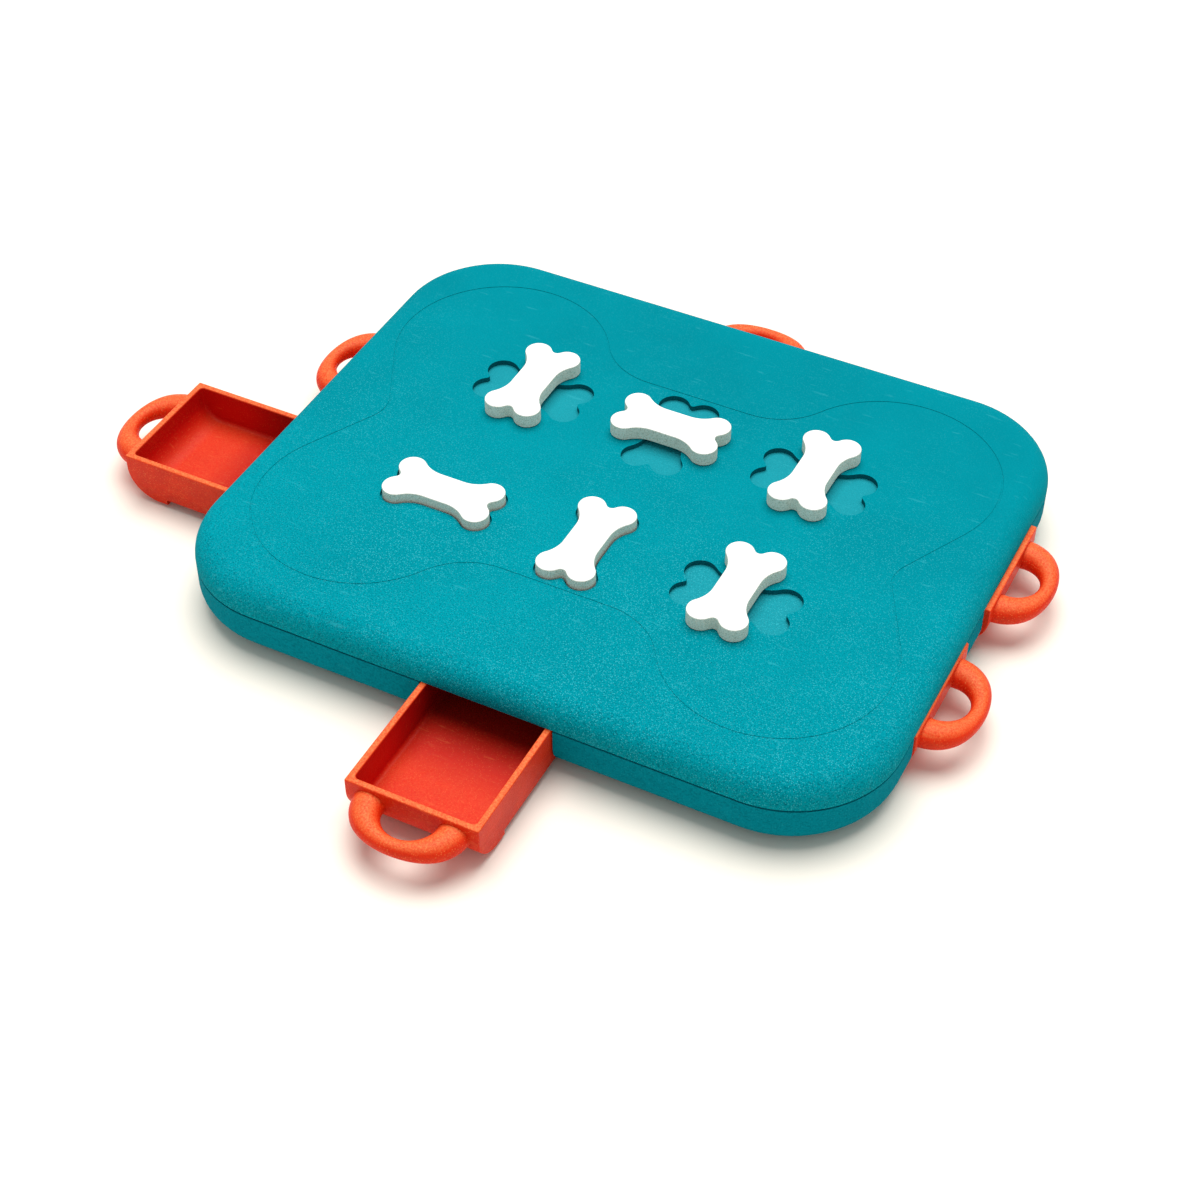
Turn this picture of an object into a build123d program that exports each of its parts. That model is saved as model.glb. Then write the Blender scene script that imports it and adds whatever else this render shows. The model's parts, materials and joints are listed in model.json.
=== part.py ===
from build123d import *
from math import cos, radians, sin, sqrt, tan
import os

os.makedirs("parts", exist_ok=True)

# ---------------------------------------------------------------------------
# Driving dimensions, in millimetres. The origin is the board's centre on the
# plane that the feet stand on. +X is the board's long way, +Z is up.
# ---------------------------------------------------------------------------

# Board: an upper shell and a lower tray that meet at the seam
board_length = 401.0
board_width = 331.6
corner_radius = 60.6
shell_height = 14.8
shell_edge_radius = 13.1
shell_wall = 4.0
tray_height = 27.8
tray_edge_radius = 15.0
tray_wall = 3.5
tray_floor = 3.5
seam_groove_height = 1.2
seam_groove_depth = 1.5

# Engraved bone outline round the top of the board
engraved_lobe_x = 120.4
engraved_lobe_y = 76.4
engraved_lobe_radius = 62.6
engraved_waist = 88.2
engraved_waist_fillet = 40.0
engraved_flank_angle = 27.0
engraved_notch_fillet = 20.0
engraving_width = 1.2
engraving_depth = 0.25

# Turning blocks, bone shaped, three columns by two rows
block_pitch = 86.6
block_row = 51.4
block_thickness = 8.5
block_edge_fillet = 0.6
block_lobe_x = 24.3
block_lobe_y = 9.1
block_lobe_radius = 7.7
block_waist = 10.2
block_waist_fillet = 18.0
block_flank_angle = 48.0
block_notch_fillet = 3.0
recess_depth = 3.1
recess_clearance = 1.2
recess_floor = 3.0
rest_gap = 0.2

# Stem, latch tongue and screw under each block
stem_radius = 4.5
stem_flats = 6.4
running_clearance = 0.08
tongue_reach = 13.0
tongue_half_width = 4.0
tongue_hub_radius = 6.2
tongue_thickness = 3.0
key_clearance = 0.1
lift_play = 0.5
latch_screw_radius = 1.5
latch_screw_length = 9.0
latch_screw_head_radius = 3.5
latch_screw_head_height = 2.0
thread_clearance = 0.05

# Drawers, six equal mouldings
drawer_width = 74.6
drawer_length = 100.0
drawer_wall = 3.6
drawer_floor = 2.5
drawer_back_row = 51.4
drawer_front_row = 50.3
back_drawer_shift = 0.6
front_drawer_shift = 1.1
drawer_travel = 82.0
drawer_edge_fillet = 0.8
bow_radius = 19.0
cavity_fillet = 2.4
rim_gap = 0.4
floor_gap = 0.3
side_gap = 0.8
skirt_depth = 24.8
skirt_gap = 0.4
stop_gap = 0.3
ear_width = 3.5
ear_height = 7.0
ear_drop = 1.5
rail_thickness = 3.0
rail_overrun = 3.0

# Drawer pulls, half rings that thin towards the middle
pull_drop = 9.8
pull_half_width = 23.4
pull_reach = 19.3
pull_root_half_width = 8.8
pull_root_half_height = 7.0
pull_middle_radius = 4.5
pull_embed = 2.4
pull_steps = 6

# Latch hook behind each drawer
hook_hub_gap = 0.5
hook_arm_gap = 0.4
hook_thickness = 3.0
hook_play = 5.3
hook_headroom = 1.0

# Stiffening ribs and turning stops inside the upper shell
rib_thickness = 3.0
stop_peg_width = 2.5
stop_peg_gap = 0.3
stop_peg_height = 4.2

# Fasteners and feet
case_screw_radius = 2.0
case_screw_length = 28.0
case_screw_head_radius = 4.0
case_screw_head_height = 2.8
screw_hole_clearance = 0.3
head_clearance = 0.5
head_sink = 6.0
post_radius = 5.5
screw_corner_inset_x = 50.0
screw_corner_inset_y = 43.5
screw_end_inset = 53.5
screw_rail_gap = 15.7
cross_recess_length = 4.6
cross_recess_width = 0.9
cross_recess_depth = 1.2
foot_radius = 9.0
foot_proud = 2.0
foot_sink = 1.5
foot_clearance = 0.1
foot_edge_fillet = 0.6
foot_corner_inset_x = 82.0
foot_corner_inset_y = 37.5
foot_side_inset = 40.0

# ---------------------------------------------------------------------------
# Levels and places that follow from them
# ---------------------------------------------------------------------------
tray_bottom = foot_proud
seam_z = tray_bottom + tray_height
top_z = seam_z + shell_height
ceiling_z = top_z - shell_wall
recess_z = top_z - recess_depth
recess_under_z = recess_z - recess_floor

tray_floor_z = tray_bottom + tray_floor
drawer_under_z = tray_floor_z + floor_gap
drawer_floor_z = drawer_under_z + drawer_floor
rim_z = seam_z - rim_gap
bow_z = tray_bottom + bow_radius
ear_top_z = rim_z - ear_drop
ear_bottom_z = ear_top_z - ear_height
rail_top_z = ear_bottom_z - floor_gap
pull_z = rim_z - pull_drop
hook_top_z = recess_under_z - hook_headroom

stem_drop = recess_depth + recess_floor + lift_play + rest_gap
slot_half_width = drawer_width / 2 + side_gap
ear_length = drawer_length - tray_wall - drawer_travel - stop_gap

side_reach = board_length / 2 - block_pitch
end_reach = board_width / 2 - block_row
hook_face = max(side_reach, end_reach) + tongue_half_width + hook_play
row_shift = max(
    abs(block_row - drawer_back_row),
    abs(block_row - drawer_front_row),
    abs(back_drawer_shift),
    abs(front_drawer_shift),
)
hook_inner = tongue_hub_radius + row_shift + hook_hub_gap
hook_outer = tongue_reach + row_shift + hook_arm_gap + hook_thickness


class Station:
    """One drawer with its block: where it is, which way it opens and how it is left."""

    def __init__(self, name, outward, block_x, block_y, drawer_shift, opening, dropped):
        self.name = name
        self.opening = opening
        self.dropped = dropped
        self.outward = Vector(*outward, 0)
        half = board_length / 2 if outward[0] else board_width / 2
        edge = self.outward * half + Vector(abs(outward[1]), abs(outward[0]), 0) * drawer_shift
        self.edge_plane = Plane(origin=edge, x_dir=self.outward)
        self.stem_plane = Plane(origin=(block_x, block_y, 0), x_dir=self.outward)

    def drawer_plane(self):
        """Plane on the drawer's front face as it is left, local X pointing outwards."""
        origin = self.edge_plane.origin + self.outward * self.opening
        return Plane(origin=origin, x_dir=self.outward)

    def block_bottom(self):
        return (recess_z if self.dropped else top_z) + rest_gap

    def block_plane(self):
        """Plane at the block's underside: along the travel when dropped, across it when raised."""
        plane = self.stem_plane.offset(self.block_bottom())
        return plane if self.dropped else plane.rotated((0, 0, 90))


LEFT = (-1, 0)
RIGHT = (1, 0)
BACK = (0, 1)
FRONT = (0, -1)

front_opening = 73.9
left_opening = 72.0
back_ajar = 5.0
left_ajar = 1.7
right_ajar = 3.1
right_front_ajar = 1.1
stations = [
    Station("left_back", LEFT, -block_pitch, block_row, drawer_back_row, left_ajar, False),
    Station("left_front", LEFT, -block_pitch, -block_row, -drawer_front_row, left_opening, True),
    Station("right_back", RIGHT, block_pitch, block_row, drawer_back_row, right_ajar, False),
    Station("right_front", RIGHT, block_pitch, -block_row, -drawer_front_row, right_front_ajar, False),
    Station("back", BACK, 0, block_row, back_drawer_shift, back_ajar, False),
    Station("front", FRONT, 0, -block_row, front_drawer_shift, front_opening, True),
]
edge_planes = [station.edge_plane for station in stations]
stem_planes = [station.stem_plane for station in stations]

screw_corner_x = board_length / 2 - screw_corner_inset_x
screw_corner_y = board_width / 2 - screw_corner_inset_y
screw_inner_x = slot_half_width + rail_thickness + screw_rail_gap + post_radius
screw_inner_y = board_width / 2 - screw_end_inset
screw_middle_x = block_pitch / 2
corner_screws = [(x, y) for x in (-screw_corner_x, screw_corner_x) for y in (-screw_corner_y, screw_corner_y)]
inner_screws = [(x, y) for x in (-screw_inner_x, screw_inner_x) for y in (-screw_inner_y, screw_inner_y)]
middle_screws = [(-screw_middle_x, 0), (screw_middle_x, 0)]
screw_points = corner_screws + inner_screws + middle_screws

foot_corner_x = board_length / 2 - foot_corner_inset_x
foot_corner_y = board_width / 2 - foot_corner_inset_y
foot_side_x = board_length / 2 - foot_side_inset
foot_points = {
    "left_back": (-foot_corner_x, foot_corner_y),
    "left_middle": (-foot_side_x, 0),
    "left_front": (-foot_corner_x, -foot_corner_y),
    "centre": (0, 0),
    "right_back": (foot_corner_x, foot_corner_y),
    "right_middle": (foot_side_x, 0),
    "right_front": (foot_corner_x, -foot_corner_y),
}


# ---------------------------------------------------------------------------
# Shapes that are used more than once
# ---------------------------------------------------------------------------
def bone_face(lobe_x, lobe_y, lobe_radius, waist, waist_fillet, flank_angle, notch_fillet):
    """A bone: four round lobes, a straight waist, and a notch with straight flanks at each end."""
    flank = radians(flank_angle)
    flank_x = lobe_x + lobe_radius * cos(flank)
    flank_y = lobe_y - lobe_radius * sin(flank)
    notch_x = flank_x - flank_y * tan(flank)
    waist_x = lobe_x - sqrt(lobe_radius**2 - (waist - lobe_y) ** 2)
    crown = radians(45)
    with BuildSketch() as bone:
        with BuildLine():
            Line((notch_x, 0), (flank_x, flank_y))
            ThreePointArc(
                (flank_x, flank_y),
                (lobe_x + lobe_radius * cos(crown), lobe_y + lobe_radius * sin(crown)),
                (waist_x, waist),
            )
            Line((waist_x, waist), (0, waist))
            mirror(about=Plane.YZ)
            mirror(about=Plane.XZ)
        make_face()
        near = lobe_radius / 100
        fillet(bone.vertices().filter_by_position(Axis.Y, -near, near), notch_fillet)
        waists = [vertex for vertex in bone.vertices() if abs(abs(vertex.X) - waist_x) < near]
        fillet(waists, waist_fillet)
    return bone.sketch


def rounded_slab(inset, height, bottom_z, edge_radius, round_top):
    """The board's outline set in by inset, with its upper or its lower edge rounded."""
    with BuildPart() as slab:
        with BuildSketch(Plane.XY.offset(bottom_z)):
            RectangleRounded(board_length - 2 * inset, board_width - 2 * inset, corner_radius - inset)
        extrude(amount=height)
        edges = slab.edges().group_by(Axis.Z)[-1 if round_top else 0]
        fillet(edges, edge_radius)
    return slab.part


block_face = bone_face(
    block_lobe_x,
    block_lobe_y,
    block_lobe_radius,
    block_waist,
    block_waist_fillet,
    block_flank_angle,
    block_notch_fillet,
)
recess_face = offset(objects=block_face, amount=recess_clearance)
engraved_face = bone_face(
    engraved_lobe_x,
    engraved_lobe_y,
    engraved_lobe_radius,
    engraved_waist,
    engraved_waist_fillet,
    engraved_flank_angle,
    engraved_notch_fillet,
)
engraved_inner_face = offset(objects=engraved_face, amount=-engraving_width)

# ---------------------------------------------------------------------------
# Upper shell
# ---------------------------------------------------------------------------
shell_outer = rounded_slab(0, shell_height, seam_z, shell_edge_radius, True)
shell_inner = rounded_slab(shell_wall, ceiling_z - seam_z, seam_z, shell_edge_radius - shell_wall, True)
tub_length = 2 * (block_lobe_x + block_lobe_radius + recess_clearance + recess_floor)
tub_width = 2 * (block_lobe_y + block_lobe_radius + recess_clearance + recess_floor)
peg_offset = tongue_half_width + stop_peg_gap + stop_peg_width / 2

# The hollow of the shell, with the tubs, ribs, pegs and bosses left standing in it
with BuildPart() as shell_hollow:
    add(shell_inner)
    with BuildSketch(*[plane.offset(recess_under_z) for plane in stem_planes]):
        RectangleRounded(tub_length, tub_width, block_lobe_radius)
    extrude(amount=top_z - recess_under_z, mode=Mode.SUBTRACT)
    with BuildSketch(*[plane.offset(seam_z) for plane in edge_planes]):
        with GridLocations(0, drawer_width - drawer_wall, 1, 2):
            with Locations((-(drawer_length + rail_overrun) / 2, 0)):
                Rectangle(drawer_length + rail_overrun, rib_thickness)
    extrude(amount=shell_height, mode=Mode.SUBTRACT)
    with BuildSketch(*[plane.offset(recess_under_z - stop_peg_height) for plane in stem_planes]):
        with Locations((-peg_offset, (tongue_reach + tongue_hub_radius) / 2)):
            Rectangle(stop_peg_width, tongue_reach - tongue_hub_radius)
    extrude(amount=stop_peg_height, mode=Mode.SUBTRACT)
    with BuildSketch(Plane.XY.offset(seam_z)):
        with Locations(*screw_points):
            Circle(post_radius)
    extrude(amount=shell_height, mode=Mode.SUBTRACT)

with BuildPart() as top_board:
    add(shell_outer)
    add(shell_hollow.part, mode=Mode.SUBTRACT)
    with BuildSketch(*[plane.offset(recess_z) for plane in stem_planes]):
        add(recess_face)
    extrude(amount=recess_depth, mode=Mode.SUBTRACT)
    with BuildSketch(*[plane.offset(recess_under_z) for plane in stem_planes]):
        Circle(stem_radius + running_clearance)
    extrude(amount=recess_floor, mode=Mode.SUBTRACT)
    with BuildSketch(Plane.XY.offset(top_z - engraving_depth)):
        add(engraved_face)
        add(engraved_inner_face, mode=Mode.SUBTRACT)
    extrude(amount=engraving_depth, mode=Mode.SUBTRACT)
    with BuildSketch(Plane.XY.offset(seam_z)):
        with Locations(*screw_points):
            Circle(case_screw_radius + thread_clearance)
    extrude(amount=ceiling_z - seam_z, mode=Mode.SUBTRACT)
top_board.part.label = "top_board"
export_step(top_board.part, "parts/top_board.step")

# ---------------------------------------------------------------------------
# Lower tray
# ---------------------------------------------------------------------------
tray_outer = rounded_slab(0, tray_height, tray_bottom, tray_edge_radius, False)
tray_inner = rounded_slab(
    tray_wall, tray_height - tray_floor, tray_floor_z, tray_edge_radius - tray_wall, False
)
rail_length = drawer_length + rail_overrun

# The hollow of the tray, with the drawer rails and the screw posts left standing in it
with BuildPart() as tray_hollow:
    add(tray_inner)
    with BuildSketch(*[plane.offset(tray_floor_z) for plane in edge_planes]):
        with GridLocations(0, 2 * slot_half_width + rail_thickness, 1, 2):
            with Locations((-rail_length / 2, 0)):
                Rectangle(rail_length, rail_thickness)
    extrude(amount=rail_top_z - tray_floor_z, mode=Mode.SUBTRACT)
    with BuildSketch(Plane.XY.offset(tray_floor_z)):
        with Locations(*screw_points):
            Circle(post_radius)
    extrude(amount=seam_z - tray_floor_z, mode=Mode.SUBTRACT)

with BuildPart() as base_tray:
    add(tray_outer)
    add(tray_hollow.part, mode=Mode.SUBTRACT)
    with BuildSketch(Plane.XY.offset(seam_z - seam_groove_height)):
        RectangleRounded(board_length, board_width, corner_radius)
        RectangleRounded(
            board_length - 2 * seam_groove_depth,
            board_width - 2 * seam_groove_depth,
            corner_radius - seam_groove_depth,
            mode=Mode.SUBTRACT,
        )
    extrude(amount=seam_groove_height, mode=Mode.SUBTRACT)
    with BuildSketch(*[plane.offset(tray_bottom) for plane in edge_planes]):
        with Locations((-(skirt_depth + skirt_gap) / 2, 0)):
            Rectangle(skirt_depth + skirt_gap, 2 * slot_half_width)
    extrude(amount=tray_height, mode=Mode.SUBTRACT)
    with BuildSketch(Plane.XY.offset(tray_bottom)):
        with Locations(*screw_points):
            Circle(case_screw_radius + screw_hole_clearance)
    extrude(amount=tray_height, mode=Mode.SUBTRACT)
    with BuildSketch(Plane.XY.offset(tray_bottom)):
        with Locations(*screw_points):
            Circle(case_screw_head_radius + head_clearance)
    extrude(amount=head_sink, mode=Mode.SUBTRACT)
    with BuildSketch(Plane.XY.offset(tray_bottom)):
        with Locations(*foot_points.values()):
            Circle(foot_radius + foot_clearance)
    extrude(amount=foot_sink, mode=Mode.SUBTRACT)
base_tray.part.label = "base_tray"
export_step(base_tray.part, "parts/base_tray.step")


# ---------------------------------------------------------------------------
# Drawers
# ---------------------------------------------------------------------------
def side_plane(plane):
    """Upright plane along the drawer's travel: local X outwards, local Y up."""
    return Plane(origin=plane.origin, x_dir=plane.x_dir, z_dir=-plane.y_dir)


def drawer_cavity(plane):
    """The food space: its front follows the bowed skirt, its edges are rounded."""
    bow = bow_z - drawer_floor_z
    with BuildPart() as cavity:
        with BuildSketch(side_plane(plane)):
            with BuildLine():
                Line((-drawer_wall, rim_z), (-drawer_wall, bow_z))
                RadiusArc((-drawer_wall, bow_z), (-drawer_wall - bow, drawer_floor_z), bow)
                Polyline(
                    (-drawer_wall - bow, drawer_floor_z),
                    (-drawer_length + drawer_wall, drawer_floor_z),
                    (-drawer_length + drawer_wall, rim_z),
                    (-drawer_wall, rim_z),
                )
            make_face()
        extrude(amount=drawer_width / 2 - drawer_wall, both=True)
        low_edges = [edge for edge in cavity.edges() if edge.center().Z < rim_z - cavity_fillet / 2]
        fillet(low_edges, cavity_fillet)
    return cavity.part


def drawer_pull(plane):
    """The half-ring pull: wide ovals at its two roots that blend into a round, thinner middle."""
    level = plane.offset(pull_z)
    angles = [-90 + 180 * step / pull_steps for step in range(pull_steps + 1)]
    stops = [(-90, pull_embed)] + [(angle, 0) for angle in angles] + [(90, pull_embed)]
    with BuildPart() as pull:
        for angle, sunk in stops:
            turn = radians(angle)
            share = abs(angle) / 90
            blend = share * share * (3 - 2 * share)
            centre = level.from_local_coords((pull_reach * cos(turn) - sunk, pull_half_width * sin(turn), 0))
            across = level.x_dir * (cos(turn) / pull_reach) + level.y_dir * (sin(turn) / pull_half_width)
            along = level.y_dir * (pull_half_width * cos(turn)) - level.x_dir * (pull_reach * sin(turn))
            with BuildSketch(Plane(origin=centre, x_dir=across, z_dir=along)):
                Ellipse(
                    pull_middle_radius + (pull_root_half_width - pull_middle_radius) * blend,
                    pull_middle_radius + (pull_root_half_height - pull_middle_radius) * blend,
                )
        loft()
    return pull.part


for station in stations:
    plane = station.drawer_plane()
    cavity = drawer_cavity(plane)
    pull = drawer_pull(plane)
    outwards = Axis(plane.origin, plane.x_dir)
    with BuildPart() as drawer:
        with BuildSketch(side_plane(plane)):
            with BuildLine():
                Line((0, rim_z), (0, bow_z))
                RadiusArc((0, bow_z), (-bow_radius, tray_bottom), bow_radius)
                Polyline(
                    (-bow_radius, tray_bottom),
                    (-skirt_depth, tray_bottom),
                    (-skirt_depth, drawer_under_z),
                    (-drawer_length, drawer_under_z),
                    (-drawer_length, rim_z),
                    (0, rim_z),
                )
            make_face()
        extrude(amount=drawer_width / 2, both=True)
        front_faces = drawer.faces().sort_by(outwards)[-2:]
        front_edges = [edge for face in front_faces for edge in face.edges()]
        side_edges = [edge for edge in front_edges if edge.bounding_box().size.Z > drawer_edge_fillet]
        fillet(side_edges, drawer_edge_fillet)
        with BuildSketch(plane.offset(ear_bottom_z)):
            with Locations((-drawer_length + ear_length / 2, 0)):
                Rectangle(ear_length, drawer_width + 2 * ear_width)
        extrude(amount=ear_height)
        add(cavity, mode=Mode.SUBTRACT)
        fillet(drawer.edges().group_by(Axis.Z)[-1], drawer_edge_fillet)
        with BuildSketch(plane.offset(drawer_under_z)):
            hook_length = hook_face + hook_thickness - drawer_length
            with Locations((-drawer_length, -hook_outer)):
                Rectangle(hook_length, hook_thickness, align=(Align.MAX, Align.MIN))
            with Locations((-hook_face, -hook_outer)):
                Rectangle(hook_thickness, hook_outer - hook_inner, align=(Align.MAX, Align.MIN))
        extrude(amount=hook_top_z - drawer_under_z)
        add(pull)
    drawer.part.label = "drawer_" + station.name
    export_step(drawer.part, "parts/drawer_" + station.name + ".step")

# ---------------------------------------------------------------------------
# Turning blocks with their latch tongues and screws
# ---------------------------------------------------------------------------
for station in stations:
    plane = station.block_plane()
    with BuildPart() as block:
        with BuildSketch(plane):
            add(block_face)
        extrude(amount=block_thickness)
        outline_edges = block.edges().group_by(Axis.Z)
        fillet(outline_edges[-1] + outline_edges[0], block_edge_fillet)
        with BuildSketch(plane):
            Circle(stem_radius)
        extrude(amount=-stem_drop)
        with BuildSketch(plane.offset(-stem_drop)):
            Circle(stem_radius)
            Rectangle(2 * stem_radius, stem_flats, mode=Mode.INTERSECT)
        extrude(amount=-tongue_thickness)
        with BuildSketch(plane.offset(-stem_drop - tongue_thickness)):
            Circle(latch_screw_radius + thread_clearance)
        extrude(amount=latch_screw_length + thread_clearance, mode=Mode.SUBTRACT)
    block.part.label = "bone_" + station.name
    export_step(block.part, "parts/bone_" + station.name + ".step")

    # The tongue points along the travel when the block is dropped, and away from the hook when raised
    with BuildPart() as tongue:
        with BuildSketch(plane.offset(-stem_drop - tongue_thickness)):
            Circle(tongue_hub_radius)
            with Locations(((tongue_reach - tongue_half_width) / 2, 0)):
                Rectangle(tongue_reach - tongue_half_width, 2 * tongue_half_width)
            with Locations((tongue_reach - tongue_half_width, 0)):
                Circle(tongue_half_width)
        extrude(amount=tongue_thickness)
        with BuildSketch(plane.offset(-stem_drop - tongue_thickness)):
            Circle(stem_radius + key_clearance)
            Rectangle(3 * stem_radius, stem_flats + 2 * key_clearance, mode=Mode.INTERSECT)
        extrude(amount=tongue_thickness, mode=Mode.SUBTRACT)
    tongue.part.label = "latch_tongue_" + station.name
    export_step(tongue.part, "parts/latch_tongue_" + station.name + ".step")

    with BuildPart() as latch_screw:
        with BuildSketch(plane.offset(-stem_drop - tongue_thickness)):
            Circle(latch_screw_radius)
        extrude(amount=latch_screw_length)
        with BuildSketch(plane.offset(-stem_drop - tongue_thickness)):
            Circle(latch_screw_head_radius)
        extrude(amount=-latch_screw_head_height)
        with BuildSketch(plane.offset(-stem_drop - tongue_thickness - latch_screw_head_height)):
            Rectangle(cross_recess_length, cross_recess_width)
            Rectangle(cross_recess_width, cross_recess_length)
        extrude(amount=cross_recess_depth, mode=Mode.SUBTRACT)
    latch_screw.part.label = "latch_screw_" + station.name
    export_step(latch_screw.part, "parts/latch_screw_" + station.name + ".step")

# ---------------------------------------------------------------------------
# Case screws and feet
# ---------------------------------------------------------------------------
seat_z = tray_bottom + head_sink
with BuildPart() as case_screws:
    with BuildSketch(Plane.XY.offset(seat_z)):
        with Locations(*screw_points):
            Circle(case_screw_radius)
    extrude(amount=case_screw_length)
    with BuildSketch(Plane.XY.offset(seat_z)):
        with Locations(*screw_points):
            Circle(case_screw_head_radius)
    extrude(amount=-case_screw_head_height)
    with BuildSketch(Plane.XY.offset(seat_z - case_screw_head_height)):
        with Locations(*screw_points):
            Rectangle(cross_recess_length, cross_recess_width)
            Rectangle(cross_recess_width, cross_recess_length)
    extrude(amount=cross_recess_depth, mode=Mode.SUBTRACT)
case_screws.part.label = "case_screws"
export_step(case_screws.part, "parts/case_screws.step")

for name, point in foot_points.items():
    with BuildPart() as foot:
        with BuildSketch():
            with Locations(point):
                Circle(foot_radius)
        extrude(amount=foot_proud + foot_sink)
        fillet(foot.edges().group_by(Axis.Z)[0], foot_edge_fillet)
    foot.part.label = "rubber_foot_" + name
    export_step(foot.part, "parts/rubber_foot_" + name + ".step")
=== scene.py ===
import json
import math

import bpy
from mathutils import Matrix, Vector


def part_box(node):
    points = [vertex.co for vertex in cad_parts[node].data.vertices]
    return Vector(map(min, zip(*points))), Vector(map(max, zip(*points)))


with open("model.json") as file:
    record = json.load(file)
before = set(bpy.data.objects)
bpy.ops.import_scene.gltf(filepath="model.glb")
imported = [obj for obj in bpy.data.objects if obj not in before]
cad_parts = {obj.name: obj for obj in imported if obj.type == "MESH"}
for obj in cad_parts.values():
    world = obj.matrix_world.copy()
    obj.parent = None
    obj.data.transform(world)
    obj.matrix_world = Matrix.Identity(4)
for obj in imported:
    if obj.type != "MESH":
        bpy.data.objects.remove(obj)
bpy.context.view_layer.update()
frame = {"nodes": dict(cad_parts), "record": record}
scene = bpy.context.scene

MM = 0.001
X, Y, Z = range(3)

# Levels and places on the object, from its pieces' boxes and two of the CAD model's measures
RIM_GAP = 0.4 * MM
RIM_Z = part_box("base_tray")[1].z - RIM_GAP
TOP_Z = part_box("top_board")[1].z
FRONT_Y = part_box("top_board")[0].y
RECESS_DEPTH = 3.1 * MM

# Width of the change at the edge of a mask that follows a drawer's food space
SOFT_EDGE = 0.6 * MM

# ---------------------------------------------------------------------------
# Camera, at the photograph's viewing angle
# ---------------------------------------------------------------------------
CAMERA_AZIMUTH = math.radians(26.494)
CAMERA_ELEVATION = math.radians(43.751)
CAMERA_ROLL = math.radians(0.385)
CAMERA_DISTANCE = 1.19013
CAMERA_TARGET = Vector((18.371, -72.081, 30.5)) * MM
SENSOR_WIDTH = 36.0
FOCAL_PIXELS = 2271.12
PHOTO_WIDTH = 1200


def make_camera():
    back = Vector((
        math.sin(CAMERA_AZIMUTH) * math.cos(CAMERA_ELEVATION),
        -math.cos(CAMERA_AZIMUTH) * math.cos(CAMERA_ELEVATION),
        math.sin(CAMERA_ELEVATION),
    ))
    right = Vector((math.cos(CAMERA_AZIMUTH), math.sin(CAMERA_AZIMUTH), 0))
    up = back.cross(right)
    rolled_right = right * math.cos(CAMERA_ROLL) + up * math.sin(CAMERA_ROLL)
    rolled_up = up * math.cos(CAMERA_ROLL) - right * math.sin(CAMERA_ROLL)
    place = CAMERA_TARGET + back * CAMERA_DISTANCE
    data = bpy.data.cameras.new("camera")
    data.sensor_width = SENSOR_WIDTH
    data.lens = FOCAL_PIXELS / PHOTO_WIDTH * SENSOR_WIDTH
    data.clip_start = 0.01
    data.clip_end = 50
    camera = bpy.data.objects.new("camera", data)
    axes = Matrix((rolled_right, rolled_up, back)).transposed().to_4x4()
    camera.matrix_world = Matrix.Translation(place) @ axes
    scene.collection.objects.link(camera)
    scene.camera = camera


# ---------------------------------------------------------------------------
# Materials
# ---------------------------------------------------------------------------
def linear(red, green, blue):
    """Display colour, 0 to 255, as the linear colour that the shader wants (sRGB curve)."""
    def one(value):
        value = value / 255
        return value / 12.92 if value <= 0.04045 else ((value + 0.055) / 1.055) ** 2.4
    return (one(red), one(green), one(blue), 1.0)


# Sockets of a Mix node that mixes colours
MIX_FACTOR, MIX_FIRST, MIX_SECOND = 0, 6, 7
MIX_RESULT = 2


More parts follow.
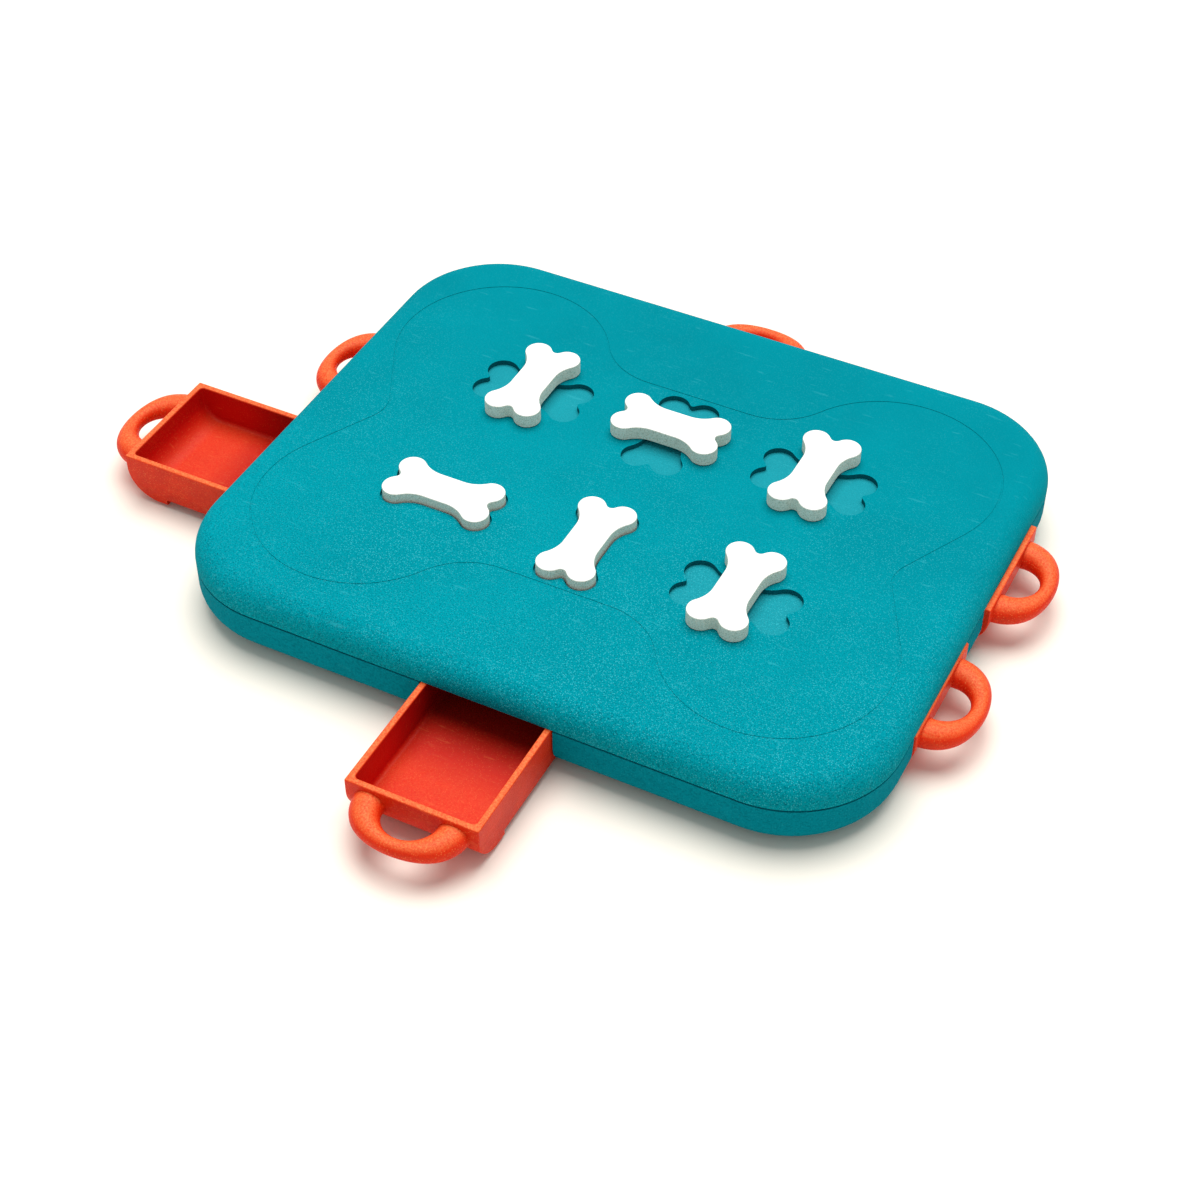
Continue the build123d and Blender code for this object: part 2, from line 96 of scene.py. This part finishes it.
class Nodes:
    """A few short calls to build a material's node tree."""

    def __init__(self, name):
        self.material = bpy.data.materials.new(name)
        self.material.use_nodes = True
        self.tree = self.material.node_tree
        self.tree.nodes.clear()
        output = self.new("ShaderNodeOutputMaterial")
        self.shader = self.new("ShaderNodeBsdfPrincipled")
        self.link(self.shader.outputs[0], output.inputs[0])
        coordinates = self.new("ShaderNodeTexCoord")
        self.place = coordinates.outputs["Object"]
        self.facing = coordinates.outputs["Normal"]

    def new(self, kind):
        return self.tree.nodes.new(kind)

    def link(self, source, target):
        """Joins a socket, or sets a plain value."""
        if isinstance(source, (tuple, float, int)):
            target.default_value = source
        else:
            self.tree.links.new(source, target)

    def stretched(self, scale):
        """The place, scaled on each axis, for marks that are longer one way."""
        node = self.new("ShaderNodeMapping")
        node.inputs["Scale"].default_value = scale
        self.link(self.place, node.inputs["Vector"])
        return node.outputs["Vector"]

    def noise(self, scale, detail=2.0, roughness=0.5, place=None):
        node = self.new("ShaderNodeTexNoise")
        node.inputs["Scale"].default_value = scale
        node.inputs["Detail"].default_value = detail
        node.inputs["Roughness"].default_value = roughness
        self.link(place or self.place, node.inputs["Vector"])
        return node.outputs["Fac"]

    def dots(self, scale, radius, share):
        """Round dots in that share of the cells, with their radius counted in cells."""
        node = self.new("ShaderNodeTexVoronoi")
        node.inputs["Scale"].default_value = scale
        self.link(self.place, node.inputs["Vector"])
        draw = self.axis(node.outputs["Color"], X)
        chosen = self.ramp(draw, 1 - share, 1 - share * 0.6)
        return self.times(chosen, self.ramp(node.outputs["Distance"], radius, radius * 0.5))

    def axis(self, vector, index):
        node = self.new("ShaderNodeSeparateXYZ")
        self.link(vector, node.inputs[0])
        return node.outputs[index]

    def ramp(self, source, low, high, start=0.0, end=1.0):
        node = self.new("ShaderNodeMapRange")
        node.inputs["From Min"].default_value = low
        node.inputs["From Max"].default_value = high
        node.inputs["To Min"].default_value = start
        node.inputs["To Max"].default_value = end
        self.link(source, node.inputs["Value"])
        return node.outputs["Result"]

    def times(self, first, second):
        node = self.new("ShaderNodeMath")
        node.operation = "MULTIPLY"
        self.link(first, node.inputs[0])
        self.link(second, node.inputs[1])
        return node.outputs[0]

    def mix(self, factor, first, second):
        node = self.new("ShaderNodeMix")
        node.data_type = "RGBA"
        self.link(factor, node.inputs[MIX_FACTOR])
        self.link(first, node.inputs[MIX_FIRST])
        self.link(second, node.inputs[MIX_SECOND])
        return node.outputs[MIX_RESULT]

    def bump(self, height, distance, strength=1.0, normal=None):
        node = self.new("ShaderNodeBump")
        node.inputs["Distance"].default_value = distance
        node.inputs["Strength"].default_value = strength
        self.link(height, node.inputs["Height"])
        if normal is not None:
            self.link(normal, node.inputs["Normal"])
        return node.outputs["Normal"]


class Grain:
    """A moulded plastic's fine texture: dark dimples, light specks, and their relief."""

    def __init__(self, scale, dimples, specks, speck_share, relief):
        self.scale = scale
        self.dimples = dimples
        self.specks = specks
        self.speck_share = speck_share
        self.relief = relief


def grained(n, grain, base, dark, light, grain_and_sheen=1.0):
    """The grained colour, and the grain itself for relief and roughness."""
    cloud = n.ramp(n.noise(14, 4, 0.6), 0.35, 0.65, 0.0, 0.20)
    colour = n.mix(cloud, base, dark)
    dimple = n.noise(grain.scale, 2.5, 0.7)
    dimples = n.times(n.ramp(dimple, 0.34, 0.54, grain.dimples, 0.0), grain_and_sheen)
    colour = n.mix(dimples, colour, dark)
    patches = n.times(n.ramp(n.noise(16, 2), 0.38, 0.62, 0.35, 1.0), grain_and_sheen)
    specks = n.times(n.dots(grain.scale, 0.42, grain.speck_share), patches)
    colour = n.mix(n.times(specks, grain.specks), colour, light)
    return colour, dimple


def finish_plastic(n, colour, dimple, grain, roughness, gloss):
    n.link(colour, n.shader.inputs["Base Color"])
    rough = n.ramp(dimple, 0.3, 0.7, roughness + 0.08, roughness - 0.06)
    n.link(rough, n.shader.inputs["Roughness"])
    n.shader.inputs["Specular IOR Level"].default_value = gloss
    fine = n.bump(dimple, grain.relief)
    n.link(n.bump(n.noise(85, 2), 2 * grain.relief, 0.8, fine), n.shader.inputs["Normal"])
    return n.material


def scuffs(n, colour, light, amount):
    """A few faint, short scratches that run along X, the board's long way."""
    scratch = n.noise(60, 2, 0.5, n.stretched((1.0, 6.0, 3.0)))
    return n.mix(n.ramp(scratch, 0.66, 0.74, 0.0, amount), colour, light)


# Distances behind the board's front edge where the grain and its painted sheen show fully and
# least, and how much of them is left there. The same ramp paints the base darker towards the
# back, a painted falloff of the light
GRAIN_AND_SHEEN_FULL = 30 * MM
GRAIN_AND_SHEEN_LEAST = 280 * MM
BACK_GRAIN_AND_SHEEN = 0.22
# Dark teal for the painted shade on the recess walls
RECESS_WALL_SHADE = linear(0, 38, 42)


def board_plastic(name, base, dark, light, grain):
    """Teal plastic: grained in front, duller and darker behind as a painted falloff of the light,
    with painted shade on the recess walls and lighter floors.
    """
    n = Nodes(name)
    height = n.axis(n.place, Z)
    upness = n.axis(n.facing, Z)
    grain_and_sheen = n.ramp(n.axis(n.place, Y), FRONT_Y + GRAIN_AND_SHEEN_FULL, FRONT_Y + GRAIN_AND_SHEEN_LEAST, 1.0, BACK_GRAIN_AND_SHEEN)
    # Painted shade: the base is mixed towards the dark teal towards the back, where the light
    # falls off
    base = n.mix(n.ramp(grain_and_sheen, 0.8, 0.2, 0.0, 0.30), base, dark)
    colour, dimple = grained(n, grain, base, dark, light, grain_and_sheen)
    colour = scuffs(n, colour, light, amount=0.12)
    # Painted shade: steep faces inside the recesses are darkened towards a dark teal
    steep = n.ramp(upness, 0.5, 0.2)
    inside = n.ramp(height, TOP_Z - 1.2 * RECESS_DEPTH, TOP_Z - RECESS_DEPTH)
    colour = n.mix(n.times(n.times(steep, inside), 0.55), colour, RECESS_WALL_SHADE)
    flat = n.ramp(upness, 0.95, 0.99)
    sunk = n.ramp(height, TOP_Z - 0.90 * RECESS_DEPTH, TOP_Z - 0.97 * RECESS_DEPTH)
    colour = n.mix(n.times(n.times(flat, sunk), 0.14), colour, light)
    return finish_plastic(n, colour, dimple, grain, roughness=0.72, gloss=0.01)


# Distances behind the food space's front where the painted shadow of the board on a drawer's
# inside starts and is darkest
SHADE_START = 30 * MM
SHADE_FULL = 74 * MM

# How far round the food space the masks for a drawer's inside and for its outer walls reach
INNER_REACH = 1.6 * MM
OUTER_REACH = 6 * MM

ORANGE = linear(237, 56, 15)
ORANGE_DARK = linear(190, 24, 8)
ORANGE_PALE = linear(253, 156, 88)
SIDE_BLOTCH_RED = linear(176, 16, 4)
# Deeper reds for the painted shade inside a drawer and the painted shadow at its far end
INSIDE_SHADE_RED = linear(204, 6, 14)
FAR_SHADOW_RED = linear(104, 8, 8)


def drawer_insides():
    """The food space of each drawer, from the openings that the record states."""
    spaces = {}
    for opening in frame["record"]["physics"]["openings"]:
        for ending in ("_inside_front", "_inside"):
            if opening["name"].endswith(ending):
                spaces.setdefault(opening["name"][:-len(ending)], []).append(opening["box_m"])
                break
    outwards = {joint["child"]: joint["axis"] for joint in frame["record"]["behaviour"]["joints"]}
    insides = {}
    for node, parts in spaces.items():
        low = [min(part[0][axis] for part in parts) for axis in (X, Y, Z)]
        high = [max(part[1][axis] for part in parts) for axis in (X, Y, Z)]
        insides[node] = (low, high, outwards[node])
    return insides


def far_end(n, space):
    """None near the drawer's front, one at its far end, which stays under the board."""
    low, high, outward = space
    axis = X if outward[X] else Y
    front = high[axis] if outward[axis] > 0 else low[axis]
    near = front - outward[axis] * SHADE_START
    far = front - outward[axis] * SHADE_FULL
    return n.ramp(n.axis(n.place, axis), near, far)


def around_space(n, space, reach, mask):
    """The mask in the food space and that far outside its walls and floor, none elsewhere."""
    low, high, _ = space
    for axis in (X, Y, Z):
        place = n.axis(n.place, axis)
        mask = n.times(mask, n.ramp(place, low[axis] - reach - SOFT_EDGE, low[axis] - reach))
        top = high[axis] + (reach if axis != Z else -1.5 * SOFT_EDGE)
        mask = n.times(mask, n.ramp(place, top + SOFT_EDGE, top))
    return mask


def inside_mask(n, space):
    """One on the walls and floor of the food space, none on the outside of the drawer."""
    return around_space(n, space, INNER_REACH, n.ramp(n.axis(n.facing, Z), -0.2, -0.05))


def darker_lower_sides(n, space):
    """Blotches of darker red on the drawer's outer walls, strongest near their lower edge."""
    walls = around_space(n, space, OUTER_REACH, n.ramp(n.axis(n.facing, Z), 0.5, 0.2))
    side_blotches = n.ramp(n.noise(70, 3, 0.65, n.stretched((1.0, 1.0, 2.5))), 0.38, 0.62, 0.35, 1.0)
    low = n.ramp(n.axis(n.place, Z), 24 * MM, 6 * MM, 0.20, 0.85)
    return n.times(walls, n.times(side_blotches, low))


def drawer_plastic(name, space):
    """Orange satin plastic, with painted highlights that make the rims and the pull paler, and
    painted shade and shadow of deeper red inside.
    """
    n = Nodes(name)
    grain = Grain(scale=1150, dimples=0.40, specks=0.40, speck_share=0.45, relief=0.16 * MM)
    inside = inside_mask(n, space)
    upness = n.axis(n.facing, Z)
    height = n.axis(n.place, Z)
    # Painted shade: the drawer's inside is mixed towards a deeper red, more on its walls than on
    # its floor
    inside_shade_share = n.ramp(upness, 0.2, 0.9, 0.90, 0.50)
    blotches = n.ramp(n.noise(45, 3, 0.6), 0.45, 0.70, 0.0, 0.30)
    base = n.mix(blotches, ORANGE, ORANGE_DARK)
    base = n.mix(n.times(darker_lower_sides(n, space), 0.60), base, SIDE_BLOTCH_RED)
    base = n.mix(n.times(inside, inside_shade_share), base, INSIDE_SHADE_RED)
    # Painted shadow: the board's shadow over the far end of the drawer's inside
    shaded = n.times(inside, far_end(n, space))
    base = n.mix(n.times(shaded, 0.80), base, FAR_SHADOW_RED)
    # Less grain and fewer pale flecks inside the drawer, in part a painted shade
    grain_and_sheen = n.ramp(inside, 0.0, 1.0, 1.0, 0.4)
    colour, dimple = grained(n, grain, base, ORANGE_DARK, ORANGE_PALE, grain_and_sheen)
    # Painted highlight: pale flecks on the upward faces, most on the pull and rims above 20 mm,
    # none in the painted shadow at the far end
    flecks = n.ramp(n.noise(1000, 3, 0.8), 0.36, 0.64, 0.15, 1.0)
    painted_top_light = n.ramp(upness, 0.60, 0.98, 0.0, 0.56)
    painted_top_light = n.times(painted_top_light, n.ramp(height, 12 * MM, 20 * MM, 0.20, 1.0))
    painted_top_light = n.times(painted_top_light, n.ramp(shaded, 0.0, 0.4, 1.0, 0.0))
    # Painted highlight: the rim's top edge is painted paler
    rim = n.ramp(height, RIM_Z - 0.9 * MM, RIM_Z - 0.2 * MM, 0.0, 0.12)
    colour = n.mix(n.times(painted_top_light, flecks), colour, ORANGE_PALE)
    colour = n.mix(n.times(rim, flecks), colour, ORANGE_PALE)
    colour = scuffs(n, colour, ORANGE_PALE, amount=0.10)
    return finish_plastic(n, colour, dimple, grain, roughness=0.42, gloss=0.12)


def bone_plastic(name):
    """Off-white speckled plastic: upper faces painted clean white for the light on them, and sides
    with a grey-green speckle.
    """
    n = Nodes(name)
    grain = Grain(scale=1250, dimples=0.75, specks=0.30, speck_share=0.35, relief=0.10 * MM)
    base, dark, light = linear(253, 251, 236), linear(186, 190, 168), linear(255, 253, 244)
    sides, dimple = grained(n, grain, base, dark, light)
    # Painted light: upward faces are painted clean white over the speckled plastic
    painted_top_light = n.ramp(n.axis(n.facing, Z), 0.5, 0.9)
    colour = n.mix(n.times(painted_top_light, 0.92), sides, linear(251, 252, 249))
    return finish_plastic(n, colour, dimple, grain, roughness=0.62, gloss=0.10)


def zinc(name):
    n = Nodes(name)
    n.shader.inputs["Metallic"].default_value = 1.0
    colour = n.mix(n.noise(900, 3), linear(150, 152, 156), linear(205, 206, 208))
    n.link(colour, n.shader.inputs["Base Color"])
    n.link(n.ramp(n.noise(400, 2), 0.3, 0.7, 0.28, 0.45), n.shader.inputs["Roughness"])
    n.link(n.bump(n.noise(1500, 2), 0.03 * MM), n.shader.inputs["Normal"])
    return n.material


def foot_rubber(name):
    n = Nodes(name)
    colour = n.mix(n.noise(700, 3), linear(24, 25, 26), linear(52, 53, 54))
    n.link(colour, n.shader.inputs["Base Color"])
    n.link(n.ramp(n.noise(300, 2), 0.3, 0.7, 0.7, 0.9), n.shader.inputs["Roughness"])
    n.link(n.bump(n.noise(1100, 2), 0.06 * MM), n.shader.inputs["Normal"])
    return n.material


def dress_nodes():
    """Gives every CAD node the material of its slot, and each drawer one of its own."""
    shell = board_plastic(
        "teal_shell", linear(0, 153, 166), linear(0, 98, 112), linear(84, 206, 218),
        Grain(scale=1300, dimples=0.90, specks=0.62, speck_share=0.60, relief=0.24 * MM))
    # Painted shade: the tray is the same plastic as the shell, with its teal painted darker for
    # its sides that face away from the light
    tray = board_plastic(
        "teal_tray", linear(0, 137, 153), linear(0, 94, 108), linear(40, 170, 182),
        Grain(scale=950, dimples=0.55, specks=0.35, speck_share=0.35, relief=0.18 * MM))
    bone = bone_plastic("white_bone")
    finishes = {
        "shell_plastic": shell,
        "tray_plastic": tray,
        "bone_plastic": bone,
        "tongue_plastic": bone,
        "screw_steel": zinc("zinc_screw"),
        "foot_rubber": foot_rubber("foot_rubber"),
    }
    insides = drawer_insides()
    for part in frame["record"]["subparts"]:
        name = part["node"]
        if name in insides:
            material = drawer_plastic("orange_" + name, insides[name])
        else:
            material = finishes[part["material_slot"]]
        node = frame["nodes"][name]
        node.data.materials.clear()
        node.data.materials.append(material)


# ---------------------------------------------------------------------------
# Floor and light
# ---------------------------------------------------------------------------
FLOOR_HALF = 6.0
WORLD_STRENGTH = 0.46
SUN_ENERGY = 3.0
SUN_ANGLE = math.radians(50)
SUN_DIRECTION = Vector((0.12, -0.45, -1.58))


def make_floor():
    signs = ((-1, -1), (1, -1), (1, 1), (-1, 1))
    corners = [(x * FLOOR_HALF, y * FLOOR_HALF, 0) for x, y in signs]
    mesh = bpy.data.meshes.new("floor")
    mesh.from_pydata(corners, [], [(0, 1, 2, 3)])
    floor = bpy.data.objects.new("floor", mesh)
    scene.collection.objects.link(floor)
    n = Nodes("floor_paper")
    colour = n.mix(n.noise(3, 2), linear(250, 243, 230), linear(252, 246, 234))
    n.link(colour, n.shader.inputs["Base Color"])
    n.shader.inputs["Roughness"].default_value = 0.9
    n.shader.inputs["Specular IOR Level"].default_value = 0.2
    mesh.materials.append(n.material)


def make_light():
    world = bpy.data.worlds.new("studio")
    world.use_nodes = True
    background = world.node_tree.nodes["Background"]
    background.inputs["Color"].default_value = (1.0, 1.0, 1.0, 1.0)
    background.inputs["Strength"].default_value = WORLD_STRENGTH
    scene.world = world
    data = bpy.data.lights.new("softbox", "SUN")
    data.energy = SUN_ENERGY
    data.angle = SUN_ANGLE
    light = bpy.data.objects.new("softbox", data)
    light.rotation_mode = "QUATERNION"
    light.rotation_quaternion = SUN_DIRECTION.to_track_quat("-Z", "Y")
    scene.collection.objects.link(light)
    scene.view_settings.view_transform = "Standard"


make_camera()
dress_nodes()
make_floor()
make_light()
